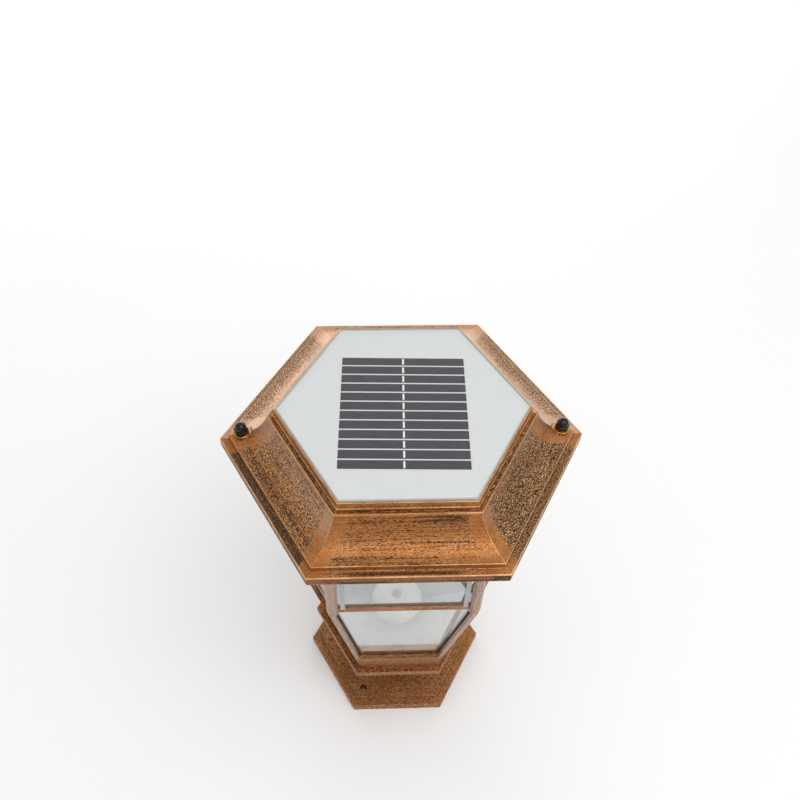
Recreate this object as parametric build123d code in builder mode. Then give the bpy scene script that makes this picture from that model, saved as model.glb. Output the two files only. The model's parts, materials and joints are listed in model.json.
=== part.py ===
"""Hexagonal solar lantern for a pillar top or deck post.

Origin: centre of the underside of the foot.  +Z is up.  Two opposite corners of the
hexagon lie on the X axis, so a flat side faces -Y (front) and another faces +Y (back).
Every "radius" of a hexagon is its corner radius (centre to corner) unless it says reach,
which is the distance from the centre to the middle of a flat side.
"""

import os
from math import cos, radians, sqrt, tan

from build123d import *

os.makedirs("parts", exist_ok=True)

# ---------------------------------------------------------------- driving dimensions
side_reach = cos(radians(30))          # reach of a hexagon of corner radius 1

rim_height = 300.0                     # height of the roof flange above the ground
roof_radius = 116.0                    # corner radius of the roof
rim_drop = 7.1                         # depth of the vertical rim band
flange_thickness = 2.5
rim_wall = 2.6

step_foot_radius = 110.5               # low step standing on the flange
step_top_radius = 110.0
step_height = 3.8
cove_top_radius = 84.45                # hollow cove between the step and the riser
cove_top_height = 21.7
riser_foot_radius = 80.3               # short riser that frames the solar panel
riser_foot_height = 24.1
riser_bead_radius = 80.9               # bead, groove and second bead between riser and cove
riser_bead_height = 23.7
groove_inner_radius = 81.2
groove_outer_radius = 83.2
groove_depth_height = 21.7
cove_bead_height = 22.4
riser_top_radius = 79.8
riser_top_height = 28.0
roof_wall = 2.5
ledge_radius = 66.0                    # opening under the panel
ledge_underside = 21.3
ledge_top = 24.0
panel_pocket_radius = 78.9

gasket_thickness = 0.8
panel_radius = 78.5
backsheet_thickness = 1.8
cell_thickness = 0.25
ribbon_thickness = 0.1
panel_proud = 1.4                      # glass stands this far above the top of the riser
strip_length = 78.0
strip_width = 6.9
strip_pitch = 7.4
strip_count = 12
strip_centre_y = -2.5
strip_turn = -1.56                     # the cell block sits slightly askew, degrees
ribbon_width = 1.2
ribbon_length = 6.0

nut_position = 101.5                   # studs and cap nuts, left and right on the X axis
stud_radius = 2.5
stud_clearance_radius = 2.9
stud_top = 11.0
stud_foot = -13.0
boss_radius = 6.5
boss_top = 5.5
washer_radius = 5.0
washer_hole_radius = 2.65
washer_thickness = 1.0
nut_across_flats = 8.0
nut_hex_height = 3.5
nut_dome_radius = 3.7
nut_neck_height = 0.8
nut_bore_radius = 2.55
nut_bore_depth = 5.3

body_top_radius = 96.2                 # outer corner radius of the upright part of the body
waist_level = -83.0                    # below this level the body tapers inwards
body_taper = 0.228                     # loss of corner radius per millimetre downwards
waist_rail_height = 6.0
rail_radius_wall = 4.0                 # rail wall measured along the corner radius
top_flange_radius = 111.5
top_flange_thickness = 2.4
top_rail_foot = -22.0
lug_radius = 6.5
lug_foot = -14.5
bottom_rail_top = -208.0
bottom_rail_foot = -236.0
floor_underside = -224.0
floor_top = -221.0

post_leg = 4.6                         # corner post, an angle with a raised outer rib
post_leg_thickness = 2.1
post_rib_leg = 4.2
post_rib_thickness = 1.3
slim_post_leg = 3.2                    # the leaning lower part of the post is a slimmer angle
slim_post_thickness = 3.0
bead_start = 6.9                       # glazing bead, measured along the side from the corner
bead_end = 9.8
bead_front = 2.1                       # and inwards from the face of the side

pane_gap = 0.2                         # between the pane and the rail, along the radius
bead_back = (rail_radius_wall + pane_gap) * side_reach
pane_thickness = 3.0
pane_top = -8.0
pane_edge_gap = 0.6
clip_width = 14.0
clip_thickness = 1.0
clip_drop = 14.0

tray_radius = 58.0                     # faceted white reflector on the lantern floor
tray_top = -207.0
tray_flat_radius = 26.0
tray_thickness = 1.5
dome_radius = 21.5
dome_height = 10.5
dome_wall = 1.5
tie_radius = 3.0
tie_hole_radius = 3.2
tie_head_radius = 4.0
tie_head_height = 3.6
tie_foot = -298.0

foot_radius = 74.0                     # pedestal under the lantern body
foot_height = 7.0
foot_step_radius = 67.0
foot_step_height = 11.0
neck_radius = 34.0
neck_height = 24.0
neck_cove_radius = 48.0                # where the lower cove of the pedestal meets the step
shoulder_radius = 67.0
shoulder_height = 58.0
collar_height = 3.0
pedestal_wall = 4.0
foot_web_top = 14.0
nut_recess_radius = 12.0
nut_recess_depth = 9.0
spigot_radius = 58.4
mounting_circle_radius = 57.0
mounting_hole_radius = 3.25
mounting_hole_count = 3

housing_radius = 60.0                  # electronics housing hung under the roof
housing_wall = 2.0
housing_foot = -8.0
housing_flange_radius = 78.0
housing_flange_underside = 18.5
housing_flange_top = 20.5
screw_circle_radius = 72.0
screw_radius = 1.5
screw_hole_radius = 1.7
screw_head_radius = 2.8
screw_head_height = 1.8
screw_top = 23.0
lens_hole_radius = 20.0
lens_flange_radius = 23.0
lens_flange_thickness = 1.5
lens_depth = 12.0
lens_wall = 1.6

board_length = 62.0
board_width = 34.0
board_thickness = 1.6
board_underside = 6.0
board_centre_y = 6.0
board_post_radius = 3.0
board_post_spacing_x = 52.0
board_post_spacing_y = 26.0
led_size = 5.0
led_height = 1.6
led_spacing = 9.0

battery_length = 49.5
battery_radius = 7.25
battery_y = -34.0
battery_z = 2.6
contact_thickness = 0.6
door_length = 54.0
door_width = 18.0
door_thickness = 1.8
door_gap = 0.6
hinge_pin_radius = 0.8
hinge_bore_radius = 0.88
knuckle_radius = 1.8
knuckle_length = 40.0
hinge_drop = 2.0                       # hinge axis below the underside of the housing
hinge_lug_length = 3.7
hinge_lug_gap = 0.3

switch_y = 36.0
switch_length = 12.0
switch_width = 6.0
switch_height = 5.0
slot_length = 8.0
slot_width = 3.4
slider_length = 3.6
slider_width = 2.8
slider_travel = 2.0


# ---------------------------------------------------------------- shared shapes
def body_radius(level):
    """Outer corner radius of the lantern body at a level below the rim."""
    return body_top_radius - body_taper * max(0.0, waist_level - level)


def height(offset):
    """Height above the ground of a level measured from the roof flange."""
    return rim_height + offset


def mitred_ring(section, size):
    """Carry a section drawn in the YZ plane around six mitred sides."""
    with BuildPart() as side:
        extrude(section, amount=size, both=True)
        with BuildSketch() as sector:
            with BuildLine():
                Polyline((0, 0), (size * tan(radians(30)), size), (-size * tan(radians(30)), size), close=True)
            make_face()
        extrude(sector.sketch, amount=2 * rim_height, mode=Mode.INTERSECT)
    with BuildPart() as ring:
        with PolarLocations(0, 6):
            add(side.part)
    return ring.part


def hexagon_frustum(low_radius, low, high_radius, high, mode=Mode.ADD):
    """A straight-sided hexagonal frustum between two levels."""
    with BuildSketch(Plane.XY.offset(low)) as lower:
        RegularPolygon(low_radius, 6)
    with BuildSketch(Plane.XY.offset(high)) as upper:
        RegularPolygon(high_radius, 6)
    loft([lower.sketch.face(), upper.sketch.face()], ruled=True, mode=mode)


def hexagon_prism(radius, low, high, mode=Mode.ADD):
    """An upright hexagonal prism between two levels."""
    with BuildSketch(Plane.XY.offset(low)) as outline:
        RegularPolygon(radius, 6)
    extrude(outline.sketch, amount=high - low, mode=mode)


def round_prism(radius, low, high, x=0.0, y=0.0, mode=Mode.ADD):
    """An upright round bar or hole between two levels."""
    with BuildSketch(Plane.XY.offset(low)) as outline:
        with Locations((x, y)):
            Circle(radius)
    extrude(outline.sketch, amount=high - low, mode=mode)


def block(length, width, low, high, x=0.0, y=0.0, mode=Mode.ADD):
    """An upright rectangular block between two levels."""
    with BuildSketch(Plane.XY.offset(low)) as outline:
        with Locations((x, y)):
            Rectangle(length, width)
    extrude(outline.sketch, amount=high - low, mode=mode)


def finish(piece, name):
    """Label a piece and write its file."""
    piece.label = name
    export_step(piece, f"parts/{name}.step")


# ---------------------------------------------------------------- roof casting
cove_foot = (step_top_radius * side_reach, height(step_height))
cove_top = (cove_top_radius * side_reach, height(cove_top_height))
cove_run = cove_foot[0] - cove_top[0]
cove_rise = cove_top[1] - cove_foot[1]
cove_arc_radius = (cove_run**2 + cove_rise**2) / (2 * cove_rise)
cove_centre = (cove_foot[0], cove_foot[1] + cove_arc_radius)
under_arc_radius = cove_arc_radius + roof_wall
under_start_reach = step_top_radius * side_reach - roof_wall
under_start_drop = sqrt(under_arc_radius**2 - (cove_centre[0] - under_start_reach) ** 2)
under_start = (under_start_reach, cove_centre[1] - under_start_drop)
under_end_rise = cove_centre[1] - height(ledge_underside)
under_end = (cove_centre[0] - sqrt(under_arc_radius**2 - under_end_rise**2), height(ledge_underside))
under_middle_reach = (under_start[0] + under_end[0]) / 2
under_middle_drop = sqrt(under_arc_radius**2 - (cove_centre[0] - under_middle_reach) ** 2)
under_middle = (under_middle_reach, cove_centre[1] - under_middle_drop)

with BuildSketch(Plane.YZ) as roof_section:
    with BuildLine():
        Line(under_end, (ledge_radius * side_reach, height(ledge_underside)))
        Polyline(
            (ledge_radius * side_reach, height(ledge_underside)),
            (ledge_radius * side_reach, height(ledge_top)),
            (panel_pocket_radius * side_reach, height(ledge_top)),
            (panel_pocket_radius * side_reach, height(riser_top_height)),
            (riser_top_radius * side_reach, height(riser_top_height)),
            (riser_foot_radius * side_reach, height(riser_foot_height)),
            (riser_bead_radius * side_reach, height(riser_bead_height)),
            (groove_inner_radius * side_reach, height(groove_depth_height)),
            (groove_outer_radius * side_reach, height(groove_depth_height)),
            ((groove_outer_radius + 0.3) * side_reach, height(cove_bead_height)),
            ((cove_top_radius - 0.3) * side_reach, height(cove_bead_height)),
            cove_top,
        )
        TangentArc(cove_foot, cove_top, tangent=(-1, 0))
        Polyline(
            cove_foot,
            (step_foot_radius * side_reach, height(0)),
            (roof_radius * side_reach, height(0)),
            (roof_radius * side_reach, height(-rim_drop)),
            (roof_radius * side_reach - rim_wall, height(-rim_drop)),
            (roof_radius * side_reach - rim_wall, height(-flange_thickness)),
            (under_start_reach, height(-flange_thickness)),
            under_start,
        )
        ThreePointArc(under_start, under_middle, under_end)
    make_face()
roof_shell = mitred_ring(roof_section.sketch, roof_radius)

with BuildPart() as roof_cap:
    add(roof_shell)
    for side in (-1, 1):
        round_prism(boss_radius, height(-flange_thickness), height(boss_top), x=side * nut_position)
        round_prism(
            boss_radius, height(boss_top), height(boss_top + 6), x=side * nut_position, mode=Mode.SUBTRACT
        )
        round_prism(
            stud_clearance_radius,
            height(-flange_thickness),
            height(boss_top),
            x=side * nut_position,
            mode=Mode.SUBTRACT,
        )
    with BuildSketch(Plane.XY.offset(height(ledge_underside))) as ledge_screw_holes:
        with PolarLocations(screw_circle_radius, 6):
            Circle(screw_radius)
    extrude(ledge_screw_holes.sketch, amount=screw_top - ledge_underside, mode=Mode.SUBTRACT)
finish(roof_cap.part, "roof_cap")

# ---------------------------------------------------------------- solar panel
gasket_top = ledge_top + gasket_thickness
backsheet_top = gasket_top + backsheet_thickness
cells_top = backsheet_top + cell_thickness
ribbon_top = cells_top + ribbon_thickness
glass_top = riser_top_height + panel_proud

with BuildPart() as panel_gasket:
    hexagon_prism(panel_radius, height(ledge_top), height(gasket_top))
    hexagon_prism(ledge_radius, height(ledge_top), height(gasket_top), mode=Mode.SUBTRACT)
finish(panel_gasket.part, "panel_gasket")

with BuildPart() as panel_backsheet:
    hexagon_prism(panel_radius, height(gasket_top), height(backsheet_top))
finish(panel_backsheet.part, "panel_backsheet")

cell_plane = Plane.XY.offset(height(backsheet_top)).rotated((0, 0, strip_turn))
with BuildPart() as solar_cells:
    with BuildSketch(cell_plane) as strips:
        with Locations((0, strip_centre_y)):
            with GridLocations(0, strip_pitch, 1, strip_count):
                Rectangle(strip_length, strip_width)
    extrude(strips.sketch, amount=cell_thickness)
finish(solar_cells.part, "solar_cells")

ribbon_plane = Plane.XY.offset(height(cells_top)).rotated((0, 0, strip_turn))
with BuildPart() as cell_ribbons:
    with BuildSketch(ribbon_plane) as ribbons:
        with Locations((0, strip_centre_y)):
            with GridLocations(0, strip_pitch, 1, strip_count):
                Rectangle(ribbon_width, ribbon_length)
    extrude(ribbons.sketch, amount=ribbon_thickness)
finish(cell_ribbons.part, "cell_ribbons")

with BuildPart() as panel_glass:
    hexagon_prism(panel_radius, height(ribbon_top), height(glass_top))
    chamfer(panel_glass.faces().sort_by(Axis.Z)[-1].edges(), 0.4)
finish(panel_glass.part, "panel_glass")

with BuildPart() as panel_seal:
    hexagon_prism(panel_pocket_radius, height(gasket_top), height(riser_top_height - 0.4))
    hexagon_prism(panel_radius, height(gasket_top), height(riser_top_height - 0.4), mode=Mode.SUBTRACT)
finish(panel_seal.part, "panel_seal")

# ---------------------------------------------------------------- cap nuts and washers
washer_top = boss_top + washer_thickness
nut_hex_top = washer_top + nut_hex_height
nut_neck_top = nut_hex_top + nut_neck_height
for side_name, side in (("left", -1), ("right", 1)):
    with BuildPart() as nut_washer:
        round_prism(washer_radius, height(boss_top), height(washer_top), x=side * nut_position)
        chamfer(nut_washer.faces().sort_by(Axis.Z)[-1].edges(), 0.3)
        round_prism(
            washer_hole_radius,
            height(boss_top),
            height(washer_top),
            x=side * nut_position,
            mode=Mode.SUBTRACT,
        )
    finish(nut_washer.part, f"nut_washer_{side_name}")

    with BuildPart() as cap_nut:
        with BuildSketch(Plane.XY.offset(height(washer_top))):
            with Locations((side * nut_position, 0)):
                RegularPolygon(nut_across_flats / 2, 6, major_radius=False)
        extrude(amount=nut_hex_height)
        with BuildSketch(Plane.XY.offset(height(washer_top))):
            with Locations((side * nut_position, 0)):
                Circle(nut_across_flats / 2 / side_reach - 0.1)
        extrude(amount=nut_hex_height, mode=Mode.INTERSECT)
        chamfer(cap_nut.faces().sort_by(Axis.Z)[-1].edges(), 0.35)
        round_prism(nut_dome_radius, height(nut_hex_top), height(nut_neck_top), x=side * nut_position)
        with Locations((side * nut_position, 0, height(nut_neck_top))):
            Sphere(nut_dome_radius, arc_size1=0, align=(Align.CENTER, Align.CENTER, Align.MIN))
        round_prism(
            nut_bore_radius,
            height(washer_top),
            height(washer_top + nut_bore_depth),
            x=side * nut_position,
            mode=Mode.SUBTRACT,
        )
    finish(cap_nut.part, f"cap_nut_{side_name}")

# ---------------------------------------------------------------- lantern frame
flange_top = -flange_thickness
rail_top = flange_top - top_flange_thickness

with BuildPart() as top_frame:
    hexagon_prism(top_flange_radius, height(rail_top), height(flange_top))
    hexagon_prism(body_top_radius, height(top_rail_foot), height(rail_top))
    for side in (-1, 1):
        round_prism(lug_radius, height(lug_foot), height(rail_top), x=side * nut_position)
    hexagon_prism(
        body_top_radius - rail_radius_wall,
        height(top_rail_foot),
        height(flange_top),
        mode=Mode.SUBTRACT,
    )
    for side in (-1, 1):
        round_prism(stud_radius, height(stud_foot), height(flange_top), x=side * nut_position, mode=Mode.SUBTRACT)
finish(top_frame.part, "top_frame")

with BuildPart() as roof_studs:
    for side in (-1, 1):
        round_prism(stud_radius, height(stud_foot), height(stud_top), x=side * nut_position)
    chamfer(roof_studs.faces().sort_by(Axis.Z)[-2:].edges(), 0.5)
finish(roof_studs.part, "roof_studs")

with BuildPart() as bottom_frame:
    hexagon_frustum(
        body_radius(bottom_rail_foot),
        height(bottom_rail_foot),
        body_radius(bottom_rail_top),
        height(bottom_rail_top),
    )
    hexagon_frustum(
        body_radius(floor_top) - rail_radius_wall,
        height(floor_top),
        body_radius(bottom_rail_top) - rail_radius_wall,
        height(bottom_rail_top),
        mode=Mode.SUBTRACT,
    )
    hexagon_prism(spigot_radius + 0.3, height(bottom_rail_foot), height(floor_underside), mode=Mode.SUBTRACT)
    round_prism(tie_hole_radius, height(floor_underside), height(floor_top), mode=Mode.SUBTRACT)
finish(bottom_frame.part, "bottom_frame")

waist_rail_top = waist_level + waist_rail_height
post_depth = (post_rib_thickness + post_leg_thickness) / side_reach
with BuildPart() as waist_rail:
    hexagon_prism(body_top_radius - post_depth, height(waist_level), height(waist_rail_top))
    hexagon_prism(
        body_top_radius - rail_radius_wall - pane_gap - (pane_thickness + 1) / side_reach,
        height(waist_level),
        height(waist_rail_top),
        mode=Mode.SUBTRACT,
    )
finish(waist_rail.part, "waist_rail")

# ---------------------------------------------------------------- corner posts
def chevron(depth, thickness, leg):
    """Angle section open towards the centre, its outer corner at the origin."""
    outer = (-depth / side_reach, 0)
    outer_tip = (outer[0] - leg / 2, leg * side_reach)
    inner_tip = (outer_tip[0] - thickness * side_reach, outer_tip[1] - thickness / 2)
    inner = (outer[0] - thickness / side_reach, 0)
    Polygon(
        outer,
        outer_tip,
        inner_tip,
        inner,
        (inner_tip[0], -inner_tip[1]),
        (outer_tip[0], -outer_tip[1]),
        align=None,
    )


def bead_outline(side):
    """Section of one glazing bead beside the post; side is +1 or -1."""
    spots = []
    for run, depth in (
        (bead_start, bead_front),
        (bead_end, bead_front),
        (bead_end, bead_back),
        (bead_start, bead_back),
    ):
        spots.append((-run / 2 - depth * side_reach, side * (run * side_reach - depth / 2)))
    Polygon(*spots, align=None)


lean_run = body_top_radius - body_radius(bottom_rail_top)
lean_rise = waist_level - bottom_rail_top
waist_corner = Plane((body_top_radius, 0, height(waist_level)))
upright_length = top_rail_foot - waist_level
with BuildPart() as post_shape:
    with BuildSketch(Plane((body_radius(bottom_rail_top), 0, height(bottom_rail_top)))) as slim_section:
        chevron(0, slim_post_thickness, slim_post_leg)
    extrude(slim_section.sketch, amount=sqrt(lean_run**2 + lean_rise**2), dir=(lean_run, 0, lean_rise))
    with BuildSketch(waist_corner) as post_section:
        chevron(post_rib_thickness, post_leg_thickness, post_leg)
        chevron(0, post_rib_thickness + 0.2, post_rib_leg)
    extrude(post_section.sketch, amount=upright_length)

for number in range(1, 7):
    with BuildPart() as corner_post:
        add(post_shape.part, rotation=(0, 0, 60 * (number - 1)))
    finish(corner_post.part, f"corner_post_{number}")

with BuildPart() as bead_pair:
    with BuildSketch(Plane((body_top_radius, 0, height(waist_rail_top)))) as bead_section:
        bead_outline(1)
        bead_outline(-1)
    extrude(bead_section.sketch, amount=top_rail_foot - waist_rail_top)
with BuildPart() as glazing_beads:
    with PolarLocations(0, 6):
        add(bead_pair.part)
finish(glazing_beads.part, "glazing_beads")

# ---------------------------------------------------------------- glass panes
def pane_outline(level):
    """Horizontal slice of the pane that faces +Y at one level."""
    outer_radius = body_radius(level) - rail_radius_wall - pane_gap
    inner_radius = outer_radius - pane_thickness / side_reach
    with BuildSketch(Plane.XY.offset(height(level))) as outline:
        with BuildLine():
            Polyline(
                (-outer_radius / 2 + pane_edge_gap, outer_radius * side_reach),
                (outer_radius / 2 - pane_edge_gap, outer_radius * side_reach),
                (inner_radius / 2 - pane_edge_gap, inner_radius * side_reach),
                (-inner_radius / 2 + pane_edge_gap, inner_radius * side_reach),
                close=True,
            )
        make_face()
    return outline.sketch.face()


with BuildPart() as lower_pane_shape:
    loft([pane_outline(floor_top), pane_outline(waist_level - 0.3)], ruled=True)
with BuildPart() as upper_pane_shape:
    loft([pane_outline(waist_rail_top), pane_outline(pane_top)], ruled=True)

for number in range(1, 7):
    with BuildPart() as lower_pane:
        add(lower_pane_shape.part, rotation=(0, 0, 60 * (number - 1) - 60))
    finish(lower_pane.part, f"lower_pane_{number}")
    with BuildPart() as upper_pane:
        add(upper_pane_shape.part, rotation=(0, 0, 60 * (number - 1) - 60))
    finish(upper_pane.part, f"upper_pane_{number}")

clip_radius_offset = rail_radius_wall + pane_gap + pane_thickness / side_reach
clip_reach = (body_top_radius - clip_radius_offset) * side_reach
rail_inner_reach = (body_top_radius - rail_radius_wall) * side_reach
with BuildSketch(Plane.YZ) as clip_section:
    with BuildLine():
        Polyline(
            (rail_inner_reach, height(rail_top)),
            (rail_inner_reach, height(rail_top - clip_thickness)),
            (clip_reach, height(rail_top - clip_thickness)),
            (clip_reach, height(pane_top - clip_drop)),
            (clip_reach - clip_thickness, height(pane_top - clip_drop)),
            (clip_reach - clip_thickness, height(rail_top)),
            close=True,
        )
    make_face()
with BuildPart() as clip_shape:
    extrude(clip_section.sketch, amount=clip_width / 2, both=True)
with BuildPart() as pane_clips:
    with PolarLocations(0, 6):
        add(clip_shape.part)
finish(pane_clips.part, "pane_clips")

# ---------------------------------------------------------------- reflector on the floor
with BuildPart() as reflector_tray:
    hexagon_frustum(tray_flat_radius + 1, height(floor_top), tray_radius, height(tray_top))
    hexagon_frustum(
        tray_flat_radius,
        height(floor_top + tray_thickness),
        tray_radius - 1,
        height(tray_top),
        mode=Mode.SUBTRACT,
    )
    round_prism(tie_hole_radius, height(floor_top), height(floor_top + tray_thickness), mode=Mode.SUBTRACT)
finish(reflector_tray.part, "reflector_tray")

dome_foot = floor_top + tray_thickness
dome_top = dome_foot + dome_height
with BuildPart() as reflector_dome:
    with BuildSketch(Plane.XZ) as dome_section:
        with BuildLine():
            Line((tie_hole_radius, height(dome_top)), (tie_head_radius + 2, height(dome_top)))
            ThreePointArc(
                (tie_head_radius + 2, height(dome_top)),
                (dome_radius * 0.78, height(dome_foot + dome_height * 0.70)),
                (dome_radius, height(dome_foot)),
            )
            Line((dome_radius, height(dome_foot)), (dome_radius - dome_wall, height(dome_foot)))
            ThreePointArc(
                (dome_radius - dome_wall, height(dome_foot)),
                (dome_radius * 0.78 - dome_wall, height(dome_foot + dome_height * 0.70 - dome_wall)),
                (tie_head_radius + 2, height(dome_top - dome_wall)),
            )
            Line((tie_head_radius + 2, height(dome_top - dome_wall)), (tie_hole_radius, height(dome_top - dome_wall)))
            Line((tie_hole_radius, height(dome_top - dome_wall)), (tie_hole_radius, height(dome_top)))
        make_face()
    revolve(axis=Axis.Z)
finish(reflector_dome.part, "reflector_dome")

with BuildPart() as tie_bolt:
    round_prism(tie_radius, height(tie_foot), height(dome_top))
    with BuildSketch(Plane.XZ):
        with BuildLine():
            Line((0, height(dome_top)), (tie_head_radius, height(dome_top)))
            Line((tie_head_radius, height(dome_top)), (tie_head_radius, height(dome_top + 1)))
            TangentArc(
                (0, height(dome_top + tie_head_height)),
                (tie_head_radius, height(dome_top + 1)),
                tangent=(1, 0),
            )
            Line((0, height(dome_top + tie_head_height)), (0, height(dome_top)))
        make_face()
    revolve(axis=Axis.Z)
finish(tie_bolt.part, "tie_bolt")

tie_washer_thickness = 1.5
tie_nut_thickness = 5.0
with BuildPart() as tie_washer:
    round_prism(9, nut_recess_depth - tie_washer_thickness, nut_recess_depth)
    round_prism(tie_hole_radius, nut_recess_depth - tie_washer_thickness, nut_recess_depth, mode=Mode.SUBTRACT)
finish(tie_washer.part, "tie_washer")

tie_nut_top = nut_recess_depth - tie_washer_thickness
with BuildPart() as tie_nut:
    hexagon_prism(5.77, tie_nut_top - tie_nut_thickness, tie_nut_top)
    round_prism(tie_radius, tie_nut_top - tie_nut_thickness, tie_nut_top, mode=Mode.SUBTRACT)
finish(tie_nut.part, "tie_nut")

# ---------------------------------------------------------------- pedestal
spigot_plate = 4.0
spigot_top = height(floor_underside)
spigot_shoulder = height(bottom_rail_foot)
neck_reach = neck_radius * side_reach
neck_inner_reach = neck_reach - pedestal_wall
collar_top = neck_height + collar_height

with BuildSketch(Plane.YZ) as foot_section:
    with BuildLine():
        Polyline(
            (neck_reach, neck_height),
            (neck_inner_reach, neck_height),
            (neck_inner_reach, foot_web_top),
            (0, foot_web_top),
            (0, 0),
            (foot_radius * side_reach, 0),
            (foot_radius * side_reach, foot_height - 1),
            ((foot_radius - 1) * side_reach, foot_height),
            (foot_step_radius * side_reach, foot_height),
            (foot_step_radius * side_reach, foot_step_height),
            (neck_cove_radius * side_reach, foot_step_height),
        )
        TangentArc(
            (neck_cove_radius * side_reach, foot_step_height),
            (neck_reach, neck_height),
            tangent=(-1, 0),
        )
    make_face()
foot_shell = mitred_ring(foot_section.sketch, foot_radius * 1.2)

with BuildPart() as pedestal_foot:
    add(foot_shell)
    round_prism(nut_recess_radius, 0, nut_recess_depth, mode=Mode.SUBTRACT)
    round_prism(tie_hole_radius, 0, foot_web_top, mode=Mode.SUBTRACT)
    with BuildSketch() as mounting_holes:
        with PolarLocations(mounting_circle_radius, mounting_hole_count):
            Circle(mounting_hole_radius)
    extrude(mounting_holes.sketch, amount=foot_step_height, mode=Mode.SUBTRACT)
finish(pedestal_foot.part, "pedestal_foot")

with BuildPart() as pedestal_collar:
    hexagon_prism(neck_radius + 3, neck_height, collar_top)
    chamfer(pedestal_collar.faces().filter_by(Axis.Z).edges(), 0.8)
    hexagon_prism(neck_inner_reach / side_reach, neck_height, collar_top, mode=Mode.SUBTRACT)
finish(pedestal_collar.part, "pedestal_collar")

with BuildSketch(Plane.YZ) as cup_section:
    with BuildLine():
        TangentArc(
            (neck_reach, collar_top),
            ((shoulder_radius - 4) * side_reach, shoulder_height),
            tangent=(0, 1),
        )
        Polyline(
            ((shoulder_radius - 4) * side_reach, shoulder_height),
            (shoulder_radius * side_reach, shoulder_height),
            (shoulder_radius * side_reach, spigot_shoulder),
            (spigot_radius * side_reach, spigot_shoulder),
            (spigot_radius * side_reach, spigot_top),
            (0, spigot_top),
            (0, spigot_top - spigot_plate),
            ((spigot_radius - 4) * side_reach, spigot_top - spigot_plate),
            ((spigot_radius - 4) * side_reach, shoulder_height + 4),
            ((neck_radius + 4) * side_reach, collar_top + 23),
            (neck_inner_reach, collar_top + 9),
            (neck_inner_reach, collar_top),
            (neck_reach, collar_top),
        )
    make_face()
cup_shell = mitred_ring(cup_section.sketch, foot_radius * 1.2)

with BuildPart() as pedestal_cup:
    add(cup_shell)
    round_prism(tie_hole_radius, spigot_top - spigot_plate, spigot_top, mode=Mode.SUBTRACT)
finish(pedestal_cup.part, "pedestal_cup")

# ---------------------------------------------------------------- electronics housing
housing_floor_top = housing_foot + housing_wall
hinge_y = battery_y - door_width / 2
hinge_level = housing_foot - hinge_drop
lug_centre_x = knuckle_length / 2 + hinge_lug_gap + hinge_lug_length / 2

with BuildPart() as module_housing:
    hexagon_prism(housing_flange_radius, height(housing_flange_underside), height(housing_flange_top))
    hexagon_prism(housing_radius, height(housing_foot), height(housing_flange_underside))
    hexagon_prism(
        housing_radius - housing_wall,
        height(housing_floor_top),
        height(housing_flange_top),
        mode=Mode.SUBTRACT,
    )
    with BuildSketch(Plane.XY.offset(height(housing_floor_top))) as board_posts:
        with Locations((0, board_centre_y)):
            with GridLocations(board_post_spacing_x, board_post_spacing_y, 2, 2):
                Circle(board_post_radius)
    extrude(board_posts.sketch, amount=board_underside - housing_floor_top)
    round_prism(lens_hole_radius, height(housing_foot), height(housing_floor_top), mode=Mode.SUBTRACT)
    block(
        door_length + 2 * door_gap,
        door_width + 2 * door_gap,
        height(housing_foot),
        height(housing_floor_top),
        y=battery_y,
        mode=Mode.SUBTRACT,
    )
    block(
        slot_length,
        slot_width,
        height(housing_foot),
        height(housing_floor_top),
        y=switch_y,
        mode=Mode.SUBTRACT,
    )
    for side in (-1, 1):
        block(
            hinge_lug_length,
            2 * knuckle_radius,
            height(hinge_level - knuckle_radius),
            height(housing_foot),
            x=side * lug_centre_x,
            y=hinge_y - door_gap - knuckle_radius + 1.2,
        )
    with BuildSketch(Plane(origin=(-door_length / 2, hinge_y, height(hinge_level)), z_dir=(1, 0, 0))) as pin_hole:
        Circle(hinge_pin_radius)
    extrude(pin_hole.sketch, amount=door_length, mode=Mode.SUBTRACT)
    with BuildSketch(Plane.XY.offset(height(housing_flange_underside))) as flange_holes:
        with PolarLocations(screw_circle_radius, 6):
            Circle(screw_hole_radius)
    extrude(flange_holes.sketch, amount=housing_flange_top - housing_flange_underside, mode=Mode.SUBTRACT)
finish(module_housing.part, "module_housing")

with BuildPart() as module_gasket:
    hexagon_prism(housing_flange_radius, height(housing_flange_top), height(ledge_underside))
    hexagon_prism(ledge_radius, height(housing_flange_top), height(ledge_underside), mode=Mode.SUBTRACT)
    with BuildSketch(Plane.XY.offset(height(housing_flange_top))) as gasket_holes:
        with PolarLocations(screw_circle_radius, 6):
            Circle(screw_hole_radius)
    extrude(gasket_holes.sketch, amount=ledge_underside - housing_flange_top, mode=Mode.SUBTRACT)
finish(module_gasket.part, "module_gasket")

with BuildPart() as screw_shape:
    round_prism(screw_radius, housing_flange_underside, screw_top)
    with BuildSketch(Plane.XZ):
        with BuildLine():
            Line((0, housing_flange_underside), (screw_head_radius, housing_flange_underside))
            TangentArc(
                (0, housing_flange_underside - screw_head_height),
                (screw_head_radius, housing_flange_underside),
                tangent=(1, 0),
            )
            Line((0, housing_flange_underside - screw_head_height), (0, housing_flange_underside))
        make_face()
    revolve(axis=Axis.Z)
    with BuildSketch(Plane.XY.offset(housing_flange_underside - screw_head_height)):
        Rectangle(3.0, 0.7)
        Rectangle(0.7, 3.0)
    extrude(amount=0.9, mode=Mode.SUBTRACT)
with BuildPart() as module_screws:
    with Locations(Plane.XY.offset(rim_height)):
        with PolarLocations(screw_circle_radius, 6):
            add(screw_shape.part)
finish(module_screws.part, "module_screws")

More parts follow.
